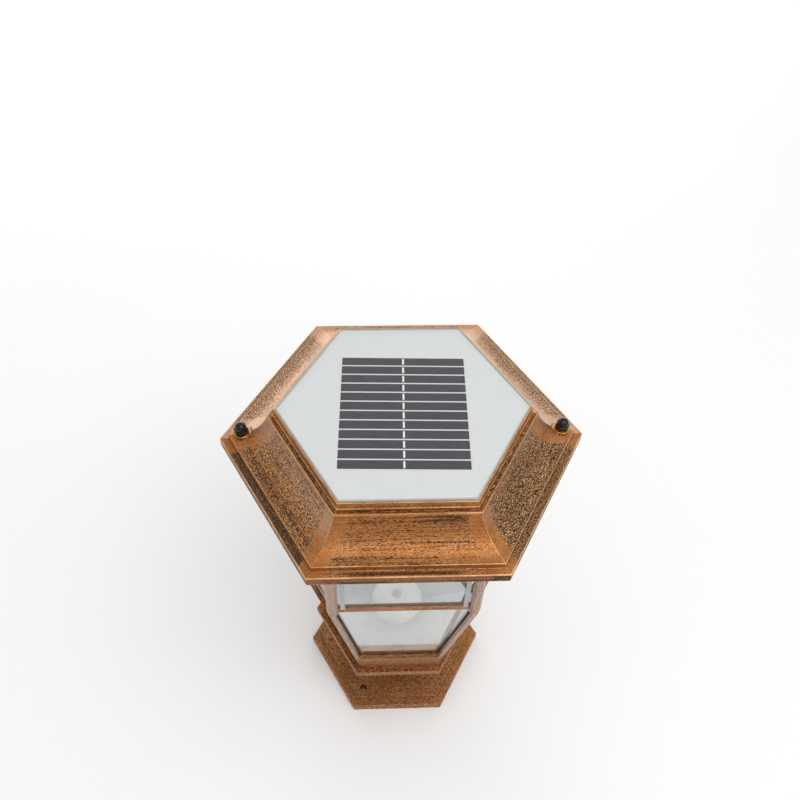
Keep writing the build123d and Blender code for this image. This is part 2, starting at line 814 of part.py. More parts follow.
lens_flange_foot = housing_foot - lens_flange_thickness
lens_apex = housing_foot - lens_depth
lens_inner_radius = lens_hole_radius - lens_wall - 0.6
with BuildPart() as led_lens:
    with BuildSketch(Plane.XZ):
        with BuildLine():
            Polyline(
                (lens_inner_radius, height(housing_foot)),
                (lens_flange_radius, height(housing_foot)),
                (lens_flange_radius, height(lens_flange_foot)),
                (lens_hole_radius, height(lens_flange_foot)),
            )
            TangentArc((0, height(lens_apex)), (lens_hole_radius, height(lens_flange_foot)), tangent=(1, 0))
            Line((0, height(lens_apex)), (0, height(lens_apex + lens_wall)))
            TangentArc(
                (0, height(lens_apex + lens_wall)), (lens_inner_radius, height(housing_foot)), tangent=(1, 0)
            )
        make_face()
    revolve(axis=Axis.Z)
finish(led_lens.part, "led_lens")

# ---------------------------------------------------------------- circuit board
board_top = board_underside + board_thickness
with BuildPart() as circuit_board:
    block(board_length, board_width, height(board_underside), height(board_top), y=board_centre_y)
    fillet(circuit_board.edges().filter_by(Axis.Z), 2)
finish(circuit_board.part, "circuit_board")

with BuildPart() as led_chips:
    with BuildSketch(Plane.XY.offset(height(board_underside))) as chips:
        with GridLocations(led_spacing, led_spacing, 2, 2):
            Rectangle(led_size, led_size)
    extrude(chips.sketch, amount=-led_height)
    with GridLocations(led_spacing, led_spacing, 2, 2):
        with Locations((0, 0, height(board_underside - led_height))):
            Cylinder(1.9, 0.5, align=(Align.CENTER, Align.CENTER, Align.MAX))
finish(led_chips.part, "led_chips")

with BuildPart() as board_components:
    block(6, 5, height(board_top), height(board_top + 1.6), x=-6, y=10)
    round_prism(4, height(board_top), height(board_top + 5), x=16, y=4)
    round_prism(2.5, height(board_top), height(board_top + 7), x=-18, y=2)
    block(3.2, 1.6, height(board_top), height(board_top + 0.8), x=2, y=-4)
    block(3.2, 1.6, height(board_top), height(board_top + 0.8), x=-8, y=-4)
    block(8, 5, height(board_top), height(board_top + 6), x=24, y=18)
finish(board_components.part, "board_components")

lead_radius = 0.7
lead_top = gasket_top
with BuildPart() as panel_leads:
    for side in (-1, 1):
        with BuildLine() as lead_route:
            FilletPolyline(
                (side * 4, 18, height(board_top)),
                (side * 4, 18, height(board_top + 6)),
                (side * 9, 9, height(lead_top - 5)),
                (side * 9, 9, height(lead_top)),
                radius=3.5,
            )
        with BuildSketch(Plane((side * 4, 18, height(board_top)))) as lead_section:
            Circle(lead_radius)
        sweep(lead_section.sketch, path=lead_route.wires()[0])
finish(panel_leads.part, "panel_leads")

# ---------------------------------------------------------------- battery and its door
battery_plane = Plane(origin=(-battery_length / 2, battery_y, height(battery_z)), x_dir=(0, 1, 0), z_dir=(1, 0, 0))
with BuildPart() as battery:
    with BuildSketch(battery_plane):
        Circle(battery_radius)
    extrude(amount=battery_length - 1)
    chamfer(battery.edges().filter_by(GeomType.CIRCLE), 0.5)
    with BuildSketch(battery_plane.offset(battery_length - 1)):
        Circle(2.7)
    extrude(amount=1)
finish(battery.part, "battery")

contact_height = 14.0
with BuildPart() as battery_contacts:
    for side in (-1, 1):
        block(
            contact_thickness,
            9,
            height(housing_floor_top),
            height(housing_floor_top + contact_height + 2),
            x=side * (battery_length / 2 + contact_thickness / 2),
            y=battery_y,
        )
finish(battery_contacts.part, "battery_contacts")

with BuildPart() as battery_leads:
    for side in (-1, 1):
        lead_x = side * (battery_length / 2 + lead_radius + 0.05)
        with BuildLine() as lead_route:
            FilletPolyline(
                (lead_x, battery_y + 4.5, height(8)),
                (lead_x, battery_y + 11, height(8)),
                (lead_x, board_centre_y - board_width / 2 + 3, height(board_top + 7)),
                (lead_x, board_centre_y - board_width / 2 + 3, height(board_top)),
                radius=1.6,
            )
        with BuildSketch(Plane(origin=(lead_x, battery_y + 4.5, height(8)), z_dir=(0, 1, 0))) as lead_section:
            Circle(lead_radius)
        sweep(lead_section.sketch, path=lead_route.wires()[0])
finish(battery_leads.part, "battery_leads")

with BuildPart() as battery_door:
    block(door_length, door_width, height(housing_foot), height(housing_foot + door_thickness), y=battery_y)
    fillet(battery_door.edges().filter_by(Axis.Z).group_by(Axis.Y)[-1], 1.0)
    block(
        knuckle_length,
        knuckle_radius,
        height(hinge_level),
        height(housing_foot),
        y=hinge_y + knuckle_radius / 2,
    )
    with BuildSketch(Plane(origin=(-knuckle_length / 2, hinge_y, height(hinge_level)), z_dir=(1, 0, 0))):
        Circle(knuckle_radius)
    extrude(amount=knuckle_length)
    with BuildSketch(Plane(origin=(-knuckle_length / 2, hinge_y, height(hinge_level)), z_dir=(1, 0, 0))):
        Circle(hinge_bore_radius)
    extrude(amount=knuckle_length, mode=Mode.SUBTRACT)
    with BuildSketch(Plane.XY.offset(height(housing_foot))):
        with Locations((0, battery_y + door_width / 2 - 4)):
            with GridLocations(0, 1.6, 1, 3):
                Rectangle(16, 0.8)
    extrude(amount=0.5, mode=Mode.SUBTRACT)
finish(battery_door.part, "battery_door")

pin_length = knuckle_length + 2 * hinge_lug_gap + 2 * hinge_lug_length
with BuildPart() as door_pin:
    with BuildSketch(Plane(origin=(-pin_length / 2, hinge_y, height(hinge_level)), z_dir=(1, 0, 0))):
        Circle(hinge_pin_radius)
    extrude(amount=pin_length)
finish(door_pin.part, "door_pin")

# ---------------------------------------------------------------- switch
with BuildPart() as switch_body:
    block(
        switch_length,
        switch_width,
        height(housing_floor_top),
        height(housing_floor_top + switch_height),
        y=switch_y,
    )
    block(
        slot_length,
        slot_width,
        height(housing_floor_top),
        height(housing_floor_top + 2.5),
        y=switch_y,
        mode=Mode.SUBTRACT,
    )
finish(switch_body.part, "switch_body")

with BuildPart() as switch_slider:
    block(
        slider_length,
        slider_width,
        height(housing_foot - 1.6),
        height(housing_floor_top + 2.2),
        x=-slider_travel,
        y=switch_y,
    )
    chamfer(switch_slider.faces().sort_by(Axis.Z)[0].edges(), 0.4)
finish(switch_slider.part, "switch_slider")
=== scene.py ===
"""Looks for the hexagonal solar lantern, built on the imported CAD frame."""

import json
import math

import bpy
from mathutils import Matrix, Vector, noise


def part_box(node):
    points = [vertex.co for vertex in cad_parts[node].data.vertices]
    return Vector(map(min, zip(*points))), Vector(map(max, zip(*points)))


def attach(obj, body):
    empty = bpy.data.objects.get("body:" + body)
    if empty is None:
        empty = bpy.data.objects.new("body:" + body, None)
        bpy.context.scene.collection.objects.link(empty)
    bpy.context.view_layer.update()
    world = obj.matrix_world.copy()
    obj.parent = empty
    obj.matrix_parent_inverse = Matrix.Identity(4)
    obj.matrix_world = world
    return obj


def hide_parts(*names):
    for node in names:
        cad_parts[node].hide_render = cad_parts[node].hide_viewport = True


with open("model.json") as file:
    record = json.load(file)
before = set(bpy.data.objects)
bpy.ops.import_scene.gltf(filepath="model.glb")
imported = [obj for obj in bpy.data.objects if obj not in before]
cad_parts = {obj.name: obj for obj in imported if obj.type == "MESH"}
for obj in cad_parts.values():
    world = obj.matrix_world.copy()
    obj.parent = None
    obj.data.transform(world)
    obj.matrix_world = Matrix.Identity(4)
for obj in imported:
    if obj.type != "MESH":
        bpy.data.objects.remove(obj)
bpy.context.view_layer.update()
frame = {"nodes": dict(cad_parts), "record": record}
nodes = frame["nodes"]

# ------------------------------------------------------------------ sizes read from the frame
roof_low, roof_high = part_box("roof_cap")
SIDE = math.cos(math.radians(30))
TAN30 = math.tan(math.radians(30))
ROOF_RADIUS = roof_high.x
RIM_TOP = roof_low.z + 0.0071
PANEL_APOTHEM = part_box("panel_glass")[1].x * SIDE
NUT_X = (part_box("cap_nut_right")[0].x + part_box("cap_nut_right")[1].x) / 2
BOSS_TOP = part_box("nut_washer_right")[0].z

# ------------------------------------------------------------------ sizes of the cell block
STRIP_TURN = -1.56  # the block sits slightly askew, degrees
ROW_PITCH = 0.0074
ROW_START = 0.1058  # puts the strips' cut edges at whole numbers of pitches
FINGER_PITCH = 0.00172


# ------------------------------------------------------------------ camera
SENSOR_MM = 36
LENS_MM = 37.67985


def aim_camera():
    azimuth, elevation, roll = math.radians(-3.411), math.radians(49.626), math.radians(1.884)
    target = Vector((-0.0051, 0.2588, 0.0)) * ROOF_RADIUS
    target.z = RIM_TOP
    distance = 4.7777 * ROOF_RADIUS
    back = Vector(
        (
            math.sin(azimuth) * math.cos(elevation),
            -math.cos(azimuth) * math.cos(elevation),
            math.sin(elevation),
        )
    )
    right = (-back).cross(Vector((0, 0, 1))).normalized()
    up = right.cross(-back)
    r = math.cos(roll) * right + math.sin(roll) * up
    u = -math.sin(roll) * right + math.cos(roll) * up
    data = bpy.data.cameras.new("camera")
    data.sensor_width = SENSOR_MM
    data.lens = LENS_MM
    data.clip_start = 0.01
    data.clip_end = 50
    camera = bpy.data.objects.new("camera", data)
    bpy.context.scene.collection.objects.link(camera)
    place = target + back * distance
    camera.matrix_world = Matrix(
        (
            (r.x, u.x, back.x, place.x),
            (r.y, u.y, back.y, place.y),
            (r.z, u.z, back.z, place.z),
            (0, 0, 0, 1),
        )
    )
    bpy.context.scene.camera = camera


aim_camera()


# ------------------------------------------------------------------ small node helpers
class Shader:
    """A thin wrapper that adds nodes to one material and links them."""

    def __init__(self, name):
        self.material = bpy.data.materials.new(name)
        self.material.use_nodes = True
        self.tree = self.material.node_tree
        self.tree.nodes.clear()
        self.output = self.tree.nodes.new("ShaderNodeOutputMaterial")

    def node(self, kind, **settings):
        made = self.tree.nodes.new(kind)
        for key, value in settings.items():
            setattr(made, key, value)
        return made

    def put(self, socket, value):
        if isinstance(value, bpy.types.NodeSocket):
            self.tree.links.new(value, socket)
        else:
            socket.default_value = value

    def math(self, operation, a, b=0.0, c=0.0, clamp=False):
        made = self.node("ShaderNodeMath", operation=operation, use_clamp=clamp)
        for socket, value in zip(made.inputs, (a, b, c)):
            self.put(socket, value)
        return made.outputs[0]

    def ramp(self, value, low, high, smooth=True):
        shape = "SMOOTHSTEP" if smooth else "LINEAR"
        made = self.node("ShaderNodeMapRange", interpolation_type=shape)
        self.put(made.inputs["Value"], value)
        made.inputs["From Min"].default_value = low
        made.inputs["From Max"].default_value = high
        return made.outputs["Result"]

    def mix(self, factor, a, b):
        made = self.node("ShaderNodeMix", data_type="RGBA")
        self.put(made.inputs["Factor"], factor)
        self.put(made.inputs["A"], a)
        self.put(made.inputs["B"], b)
        return made.outputs["Result"]

    def blend(self, factor, a, b):
        made = self.node("ShaderNodeMix", data_type="FLOAT")
        self.put(made.inputs["Factor"], factor)
        self.put(made.inputs["A"], a)
        self.put(made.inputs["B"], b)
        return made.outputs["Result"]

    def vector(self, x, y, z):
        made = self.node("ShaderNodeCombineXYZ")
        for socket, value in zip(made.inputs, (x, y, z)):
            self.put(socket, value)
        return made.outputs[0]

    def noise(self, vector, scale=1.0, detail=3.0, roughness=0.55, distortion=0.0):
        made = self.node("ShaderNodeTexNoise")
        self.put(made.inputs["Vector"], vector)
        made.inputs["Scale"].default_value = scale
        made.inputs["Detail"].default_value = detail
        made.inputs["Roughness"].default_value = roughness
        made.inputs["Distortion"].default_value = distortion
        return made.outputs["Fac"]

    def position(self):
        return self.node("ShaderNodeTexCoord").outputs["Object"]

    def split(self, vector):
        made = self.node("ShaderNodeSeparateXYZ")
        self.put(made.inputs[0], vector)
        return made.outputs

    def attribute(self, name):
        return self.node("ShaderNodeAttribute", attribute_name=name).outputs["Fac"]

    def bump(self, height, strength, distance, edge=0.0):
        made = self.node("ShaderNodeBump")
        self.put(made.inputs["Height"], height)
        if edge:
            soft = self.node("ShaderNodeBevel", samples=6)
            soft.inputs["Radius"].default_value = edge
            self.put(made.inputs["Normal"], soft.outputs[0])
        made.inputs["Strength"].default_value = strength
        made.inputs["Distance"].default_value = distance
        return made.outputs["Normal"]

    def principled(self, **values):
        made = self.node("ShaderNodeBsdfPrincipled")
        for key, value in values.items():
            self.put(made.inputs[key.replace("_", " ")], value)
        self.tree.links.new(made.outputs[0], self.output.inputs["Surface"])
        return made


def rgb(red, green, blue):
    """Display colour, 0 to 255, as a linear colour with alpha."""
    linear = []
    for value in (red, green, blue):
        share = value / 255
        linear.append(share / 12.92 if share <= 0.04045 else ((share + 0.055) / 1.055) ** 2.4)
    return (*linear, 1.0)


# ------------------------------------------------------------------ antique copper
def face_coordinates(s):
    """Distance along a side of the hexagon, distance out from the axis, and the side's number."""
    x, y, z = s.split(s.position())
    turn = s.math("ARCTAN2", y, x)
    number = s.math("FLOOR", s.math("DIVIDE", turn, math.pi / 3))
    middle = s.math("MULTIPLY", s.math("ADD", number, 0.5), math.pi / 3)
    sine = s.math("SINE", middle)
    cosine = s.math("COSINE", middle)
    along = s.math("SUBTRACT", s.math("MULTIPLY", y, cosine), s.math("MULTIPLY", x, sine))
    out = s.math("ADD", s.math("MULTIPLY", x, cosine), s.math("MULTIPLY", y, sine))
    return along, out, z, number


def antique_copper(name, upright=False, pale=0.0, edge=0.0, base_soot=0.0, base_stipple=0.0):
    """Copper paint wiped over black: dashes run along each side, dots lie where it was stippled."""
    s = Shader(name)
    along, out, z, number = face_coordinates(s)
    shift = s.math("MULTIPLY", number, 7.31)

    def stretched(run, across, offset=0.0):
        if upright:
            return s.vector(
                s.math("ADD", s.math("MULTIPLY", along, across), s.math("ADD", shift, offset)),
                s.math("MULTIPLY", out, across),
                s.math("MULTIPLY", z, run),
            )
        return s.vector(
            s.math("ADD", s.math("MULTIPLY", along, run), s.math("ADD", shift, offset)),
            s.math("MULTIPLY", out, across),
            s.math("MULTIPLY", z, across),
        )

    row = s.noise(stretched(20, 1450), detail=3, roughness=0.65)
    dash = s.noise(stretched(520, 2800, 5.0), detail=1, roughness=0.5)
    hair = s.noise(stretched(40, 1900, 3.0), detail=2, roughness=0.6)
    patch = s.noise(stretched(30, 110, 11.0), detail=3)
    dot = s.noise(s.position(), scale=1600, detail=1, roughness=0.5)
    cloud = s.noise(s.position(), scale=60, detail=3)
    soot = s.math("ADD", s.attribute("soot"), base_soot)
    stipple = s.math("ADD", s.attribute("stipple"), base_stipple)
    edge_wear_and_highlight = s.attribute("edge_wear_and_highlight")
    patina_and_shade = s.attribute("patina_and_shade")
    painted_sheen = s.attribute("painted_sheen")

    def centred(value, weight):
        return s.math("MULTIPLY", s.math("SUBTRACT", value, 0.5), weight)

    uneven = s.math("ADD", centred(patch, 0.22), centred(cloud, 0.20))
    streaks = s.math("ADD", s.math("ADD", centred(row, 1.5), centred(dash, 1.5)), uneven)
    lines = s.ramp(s.math("ADD", streaks, centred(soot, 0.8)), -0.06, 0.12)
    speckle = s.math("ADD", centred(dot, 2.4), uneven)
    dots = s.ramp(s.math("ADD", speckle, centred(stipple, 0.8)), -0.05, 0.08)
    dark = s.math("MAXIMUM", s.math("MULTIPLY", lines, 0.84), s.math("MULTIPLY", dots, 0.96))
    # dark marks are cleared on worn edges and under the painted highlight
    away_from_edge_shine = s.math("SUBTRACT", 1.0, s.math("MULTIPLY", edge_wear_and_highlight, 0.85))
    dark = s.math("MULTIPLY", dark, away_from_edge_shine, clamp=True)

    tone = s.mix(s.ramp(hair, 0.30, 0.70, smooth=False), rgb(164, 104, 56), rgb(198, 134, 78))
    tone = s.mix(s.math("MULTIPLY", s.ramp(cloud, 0.42, 0.70), 0.6), tone, rgb(206, 146, 94))
    # patina mark: brown patina in the groove, and painted shade that browns and darkens the flange, the
    # rim and the front coves
    tone = s.mix(s.math("MULTIPLY", patina_and_shade, 0.8), tone, rgb(140, 76, 32))
    tone = s.mix(s.math("MULTIPLY", s.ramp(dash, 0.50, 0.66), 0.6), tone, rgb(116, 68, 34))
    # painted sheen: pale pink copper where the surface would reflect the bright studio, mostly on the
    # back sides
    tone = s.mix(painted_sheen, tone, rgb(226, 196, 174))
    between_dots = s.ramp(s.math("SUBTRACT", 0.5, dot), 0.01, 0.08)
    glint = s.math("MULTIPLY", between_dots, s.math("MULTIPLY", stipple, 1.7), clamp=True)
    tone = s.mix(s.math("MULTIPLY", glint, 0.7, clamp=True), tone, rgb(232, 184, 132))
    # edge shine: copper rubbed bright on raised edges with a painted highlight on top; along the mitres
    # it is only a painted highlight
    edge_shine_and_highlight = s.math("MULTIPLY", edge_wear_and_highlight, s.blend(s.ramp(cloud, 0.40, 0.60), 0.45, 0.95))
    tone = s.mix(edge_shine_and_highlight, tone, rgb(250, 200, 138))
    # pale greyish-pink tone: partly the posts' own tone, partly painted light that lifts them out of the
    # roof's shade
    tone = s.mix(pale, tone, rgb(184, 168, 156))
    # under the painted sheen the dark marks are painted paler too
    colour = s.mix(dark, tone, s.mix(painted_sheen, rgb(38, 21, 10), rgb(110, 84, 66)))

    rough = s.blend(painted_sheen, s.blend(dark, s.blend(hair, 0.30, 0.46), 0.60), 0.58)
    # the same mark makes the copper less metallic, so the painted shade reads as dull brown
    browned_and_shaded = s.math("MULTIPLY", patina_and_shade, 0.8, clamp=True)
    metal = s.blend(browned_and_shaded, s.blend(dark, 0.72, 0.10), 0.05)
    relief = s.math("ADD", s.math("MULTIPLY", hair, 0.5), s.math("MULTIPLY", dark, -0.45))
    normal = s.bump(relief, 0.4, 0.00022, edge)
    s.principled(
        Base_Color=colour,
        Roughness=rough,
        Metallic=metal,
        Normal=normal,
        Specular_IOR_Level=0.2,
    )
    return s.material


# ------------------------------------------------------------------ other materials
def plastic(name, colour, roughness=0.4, grain=900.0, depth=0.00006, variation=0.06):
    s = Shader(name)
    cloud = s.noise(s.position(), scale=60, detail=3)
    fine = s.noise(s.position(), scale=grain, detail=2)
    dark = tuple(c * (1 - variation * 2) for c in colour[:3]) + (1.0,)
    base = s.mix(s.ramp(cloud, 0.3, 0.7), dark, colour)
    s.principled(
        Base_Color=base,
        Roughness=s.blend(cloud, roughness * 0.85, roughness * 1.15),
        Normal=s.bump(fine, 0.25, depth),
    )
    return s.material


def bare_metal(name, colour, roughness=0.3, scale=700.0):
    s = Shader(name)
    x, y, z = s.split(s.position())
    rings = s.noise(
        s.vector(
            s.math("MULTIPLY", x, scale),
            s.math("MULTIPLY", y, scale),
            s.math("MULTIPLY", z, 40),
        )
    )
    cloud = s.noise(s.position(), scale=90, detail=3)
    dull = tuple(c * 0.7 for c in colour[:3]) + (1.0,)
    s.principled(
        Base_Color=s.mix(s.ramp(cloud, 0.35, 0.7), colour, dull),
        Roughness=s.blend(rings, roughness * 0.7, roughness * 1.3),
        Metallic=1.0,
        Normal=s.bump(rings, 0.2, 0.0001),
    )
    return s.material


def black_gloss(name):
    s = Shader(name)
    cloud = s.noise(s.position(), scale=240, detail=4)
    wear = s.ramp(s.noise(s.position(), scale=1100, detail=3), 0.66, 0.74)
    s.principled(
        Base_Color=s.mix(wear, rgb(26, 24, 24), rgb(112, 98, 88)),
        Roughness=s.blend(cloud, 0.06, 0.16),
        Metallic=s.blend(wear, 0.35, 0.8),
        Normal=s.bump(cloud, 0.08, 0.0001),
    )
    return s.material


def hexagon_distance(s):
    """Distance from the axis towards the nearest side of a hexagon with corners on X."""
    x, y, z = s.split(s.position())
    wide = s.math("MULTIPLY", x, SIDE)
    lean = s.math("MULTIPLY", y, 0.5)
    right = s.math("ABSOLUTE", s.math("ADD", wide, lean))
    left = s.math("ABSOLUTE", s.math("SUBTRACT", wide, lean))
    return s.math("MAXIMUM", s.math("ABSOLUTE", y), s.math("MAXIMUM", right, left))


def clear_glass(name, tint, roughness_low=0.0, roughness_high=0.03, shade=0.85, apothem=0.0):
    """Clear glass that lets light and shadow rays straight through.

    With an apothem, the last millimetre before that hexagon's sides turns to grey sealant.
    """
    s = Shader(name)
    smear = s.noise(s.position(), scale=26, detail=4, distortion=0.6)
    glass = s.node("ShaderNodeBsdfPrincipled")
    glass.inputs["Base Color"].default_value = tint
    glass.inputs["Transmission Weight"].default_value = 1.0
    glass.inputs["IOR"].default_value = 1.45
    s.put(glass.inputs["Roughness"], s.blend(s.ramp(smear, 0.4, 0.8), roughness_low, roughness_high))
    through = s.node("ShaderNodeBsdfTransparent")
    through.inputs["Color"].default_value = (shade, shade, shade, 1)
    path = s.node("ShaderNodeLightPath")
    either = s.math("MAXIMUM", path.outputs["Is Shadow Ray"], path.outputs["Is Diffuse Ray"])
    mixed = s.node("ShaderNodeMixShader")
    s.put(mixed.inputs[0], either)
    body = glass
    if apothem:
        sealant = s.node("ShaderNodeBsdfDiffuse")
        sealant.inputs["Color"].default_value = rgb(182, 182, 178)
        body = s.node("ShaderNodeMixShader")
        s.put(body.inputs[0], s.ramp(hexagon_distance(s), apothem - 0.0010, apothem - 0.0002))
        s.tree.links.new(glass.outputs[0], body.inputs[1])
        s.tree.links.new(sealant.outputs[0], body.inputs[2])
    s.tree.links.new(body.outputs[0], mixed.inputs[1])
    s.tree.links.new(through.outputs[0], mixed.inputs[2])
    s.tree.links.new(mixed.outputs[0], s.output.inputs["Surface"])
    return s.material


def strip_coordinates(s):
    """Distances along and across the strips, and 0 to 0.5 from a strip's middle to its edge."""
    turn = math.radians(STRIP_TURN)
    x, y, z = s.split(s.position())
    across = s.math(
        "SUBTRACT", s.math("MULTIPLY", y, math.cos(turn)), s.math("MULTIPLY", x, math.sin(turn))
    )
    along = s.math("ADD", s.math("MULTIPLY", x, math.cos(turn)), s.math("MULTIPLY", y, math.sin(turn)))
    row = s.math("FRACT", s.math("DIVIDE", s.math("ADD", across, ROW_START), ROW_PITCH))
    return along, across, s.math("ABSOLUTE", s.math("SUBTRACT", row, 0.5))


def tinned_ribbon(name):
    """Bright tinned ribbon with a grey solder knot where two strips meet."""
    s = Shader(name)
    along, across, offset = strip_coordinates(s)
    knot = s.math("MULTIPLY", s.ramp(offset, 0.29, 0.35), 0.95)
    s.principled(Base_Color=s.mix(knot, rgb(246, 246, 244), rgb(92, 90, 92)), Roughness=0.35)
    return s.material


def silicon(name):
    """Slate silicon strips with fine printed fingers across each strip."""
    s = Shader(name)
    along, across, offset = strip_coordinates(s)
    finger = s.math("FRACT", s.math("DIVIDE", across, FINGER_PITCH))
    from_line = s.math("ABSOLUTE", s.math("SUBTRACT", finger, 0.5))
    line = s.math("SUBTRACT", 1.0, s.ramp(from_line, 0.03, 0.10))
    cut_edge = s.ramp(offset, 0.434, 0.448)
    crystal = s.node("ShaderNodeTexVoronoi")
    s.put(crystal.inputs["Vector"], s.vector(along, across, 0.0))
    crystal.inputs["Scale"].default_value = 160
    cloud = s.noise(s.position(), scale=30, detail=2)
    low = s.mix(crystal.outputs["Color"], rgb(30, 28, 38), rgb(42, 39, 50))
    base = s.mix(s.ramp(cloud, 0.3, 0.7), low, rgb(38, 35, 46))
    base = s.mix(s.math("MULTIPLY", line, 0.30), base, rgb(84, 82, 90))
    base = s.mix(s.math("MULTIPLY", cut_edge, 0.95), base, rgb(240, 240, 242))
    s.principled(Base_Color=base, Roughness=0.32, Metallic=0.1, Normal=s.bump(line, 0.1, 0.00002))
    return s.material


COPPER = antique_copper("antique_copper")
COPPER_FRAME = antique_copper("antique_copper_frame", edge=0.0005, base_soot=0.30, base_stipple=0.34)
# the uprights' pale share of 0.68 is partly painted light, lifting the posts out of the shade under the
# roof
COPPER_UPRIGHT = antique_copper(
    "antique_copper_upright", True, 0.68, 0.0005, base_soot=0.12, base_stipple=0.16
)
BLACK = black_gloss("black_nut")
ZINC = bare_metal("zinc_steel", rgb(190, 188, 182), 0.28)
BRASS = bare_metal("brass_ring", rgb(232, 172, 96), 0.22)
NICKEL = bare_metal("contact_nickel", rgb(205, 198, 184), 0.2)
SILICON = silicon("cell_silicon")
RIBBON = tinned_ribbon("ribbon_tin")
PANEL_GLASS = clear_glass("panel_cover", (0.97, 0.985, 0.98, 1), 0.0, 0.02, 0.95, PANEL_APOTHEM)
PANE_GLASS = clear_glass("pane_glass", (0.96, 0.985, 0.98, 1), 0.0, 0.03, 0.92)
BACKING = plastic("white_backing", rgb(223, 225, 224), 0.25, 300, 0.00002, 0.01)
SEAL = plastic("dark_seal", rgb(40, 38, 36), 0.7)
GLAZING = plastic("glazing_grey", rgb(176, 178, 177), 0.40, 1200)
HOUSING = plastic("housing_plastic", rgb(222, 222, 218), 0.45, 1400)
BOARD = plastic("board_laminate", rgb(24, 92, 46), 0.3, 500)
CHIP = plastic("component_black", rgb(28, 28, 30), 0.35)
LED = plastic("led_package", rgb(244, 230, 150), 0.25)
LENS = plastic("lens_plastic", rgb(236, 238, 240), 0.35, 500, 0.0001, 0.02)
WRAP = plastic("battery_wrap", rgb(44, 110, 62), 0.25, 300)
LEAD = plastic("lead_insulation", rgb(150, 24, 22), 0.4)
REFLECTOR = plastic("reflector_white", rgb(240, 242, 241), 0.28, 400, 0.00008, 0.05)
SWITCH = plastic("switch_black", rgb(24, 24, 26), 0.45)

BY_SLOT = {
    "antique_copper": COPPER_FRAME,
    "brass_ring": BRASS,
    "glazing_grey": GLAZING,
    "black_nut": BLACK,
    "zinc_steel": ZINC,
    "cell_silicon": SILICON,
    "panel_cover": PANEL_GLASS,
    "pane_glass": PANE_GLASS,
    "white_backing": BACKING,
    "ribbon_tin": RIBBON,
    "dark_seal": SEAL,
    "housing_plastic": HOUSING,
    "board_laminate": BOARD,
    "component_black": CHIP,
    "led_package": LED,
    "lens_plastic": LENS,
    "battery_wrap": WRAP,
    "contact_nickel": NICKEL,
    "lead_insulation": LEAD,
    "reflector_white": REFLECTOR,
    "switch_black": SWITCH,
}
BY_NODE = {
    "tie_bolt": plastic("painted_bolt", rgb(206, 208, 207), 0.3),
    "panel_seal": plastic("clear_sealant", rgb(176, 172, 166), 0.35),
    "reflector_tray": plastic("tray_grey", rgb(212, 215, 216), 0.28, 400, 0.00008, 0.05),
}
node_slot = {part["node"]: part["material_slot"] for part in frame["record"]["subparts"]}
for name, piece in nodes.items():
    look = BY_SLOT[node_slot[name]]
    if name.startswith("corner_post"):
        look = COPPER_UPRIGHT
    look = BY_NODE.get(name, look)
    for slot in piece.material_slots:
        slot.material = look


# ------------------------------------------------------------------ roof casting
def rounded(points, segments=4, worn=0.0003):
    """Round the corners of an open outline; each point is (reach, height, radius).

    The third value of each result is how polished the edge is, as rubbed copper and as a painted
    highlight; it falls to 0 a worn strip away from the rounding, so the flats between two edges stay
    dull.
    """
    line = []
    for index, (reach, level, radius) in enumerate(points):
        if radius <= 0 or index in (0, len(points) - 1):
            line.append((reach, level, 0.0))
            continue
        here = Vector((reach, level))
        before = Vector(points[index - 1][:2]) - here
        after = Vector(points[index + 1][:2]) - here
        cut = min(radius, before.length * 0.3, after.length * 0.3)
        start = here + before.normalized() * cut
        end = here + after.normalized() * cut
        outward = before.x * after.y - before.y * after.x > 0
        strip_in = min(worn, before.length * 0.15)
        strip_out = min(worn, after.length * 0.15)
        dull_in = start + before.normalized() * strip_in
        dull_out = end + after.normalized() * strip_out
        line.append((dull_in.x, dull_in.y, 0.0))
        for step in range(segments + 1):
            share = step / segments
            spot = start * (1 - share) ** 2 + here * 2 * share * (1 - share) + end * share**2
            line.append((spot.x, spot.y, 1.0 - abs(2 * share - 1) * 0.4 if outward else 0.0))
        line.append((dull_out.x, dull_out.y, 0.0))
    return line


def divided(line, longest):
    """Split the long straight stretches of an outline, so that marks can vary across them."""
    spots = [line[0]]
    for before, after in zip(line, line[1:]):
        parts = max(1, math.ceil(math.dist(before[:2], after[:2]) / longest))
        for step in range(1, parts + 1):
            share = step / parts
            spots.append(tuple(a + (b - a) * share for a, b in zip(before, after)))
    return spots


def arc_points(start, end, count, wall=0.0):
    """Hollow cove tangent to the horizontal at its foot, from foot to top."""
    run = start[0] - end[0]
    rise = end[1] - start[1]
    radius = (run**2 + rise**2) / (2 * rise)
    centre = (start[0], start[1] + radius)
    last = math.atan2(run, centre[1] - end[1])
    spots = []
    for step in range(count + 1):
        angle = last * step / count
        spots.append(
            (centre[0] - (radius + wall) * math.sin(angle), centre[1] - (radius + wall) * math.cos(angle))
        )
    return spots


